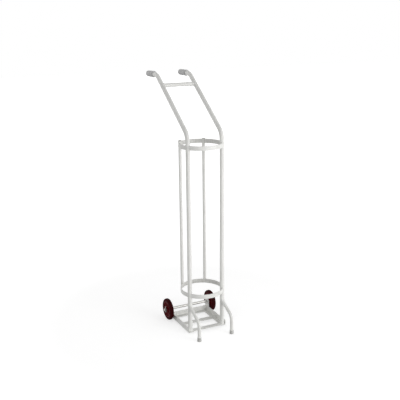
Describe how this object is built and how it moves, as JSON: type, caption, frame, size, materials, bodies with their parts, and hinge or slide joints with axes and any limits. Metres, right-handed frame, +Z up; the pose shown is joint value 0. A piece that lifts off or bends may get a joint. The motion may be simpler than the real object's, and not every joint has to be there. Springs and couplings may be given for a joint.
{
  "type": "gas cylinder trolley",
  "caption": "Tall upright trolley of white bent tube that holds a gas cylinder in retaining rings over an angle-iron base, with raked handles, front feet and rear wheels.",
  "frame": {"origin": "middle of the trolley's footprint, on the floor", "axes": "+X to the right seen from the front where the feet are, +Y back towards the wheels and handles, +Z up"},
  "size_m": [0.3376, 0.6668, 1.4755],
  "materials": {
    "frame_paint": "off-white powder coat on steel tube, angle and flat bar",
    "grip_vinyl": "moulded grey vinyl, ribbed",
    "foot_rubber": "moulded grey rubber",
    "plug_plastic": "moulded pale grey polyethylene",
    "zinc_plate": "zinc-plated steel",
    "wheel_plastic": "moulded maroon polypropylene",
    "tyre_rubber": "solid dark maroon rubber",
    "bush_nylon": "natural nylon"
  },
  "bodies": {
    "frame": {"left_handle_tube": "frame_paint", "right_handle_tube": "frame_paint", "handle_crossbar": "frame_paint", "left_grip": "grip_vinyl", "right_grip": "grip_vinyl", "upper_front_band": "frame_paint", "upper_rear_band": "frame_paint", "lower_front_band": "frame_paint", "lower_rear_band": "frame_paint", "left_rear_tube": "frame_paint", "right_rear_tube": "frame_paint", "rear_tube_plugs": "plug_plastic", "left_side_rail": "frame_paint", "right_side_rail": "frame_paint", "rear_rail": "frame_paint", "front_strip": "frame_paint", "middle_strip": "frame_paint", "left_foot": "frame_paint", "right_foot": "frame_paint", "left_foot_tip": "foot_rubber", "right_foot_tip": "foot_rubber", "axle": "zinc_plate", "left_axle_bracket": "frame_paint", "right_axle_bracket": "frame_paint", "axle_washers": "zinc_plate", "split_pins": "zinc_plate"},
    "left_wheel": {"left_wheel_centre": "wheel_plastic", "left_tyre": "tyre_rubber", "left_bush": "bush_nylon"},
    "right_wheel": {"right_wheel_centre": "wheel_plastic", "right_tyre": "tyre_rubber", "right_bush": "bush_nylon"}
  },
  "joints": [
    {"name": "left_wheel_spin", "type": "hinge", "parent": "frame", "child": "left_wheel", "pos_m": [-0.14195, 0.02806, 0.065], "axis": [1, 0, 0], "continuous": true},
    {"name": "right_wheel_spin", "type": "hinge", "parent": "frame", "child": "right_wheel", "pos_m": [0.14195, 0.02806, 0.065], "axis": [1, 0, 0], "continuous": true}
  ]
}
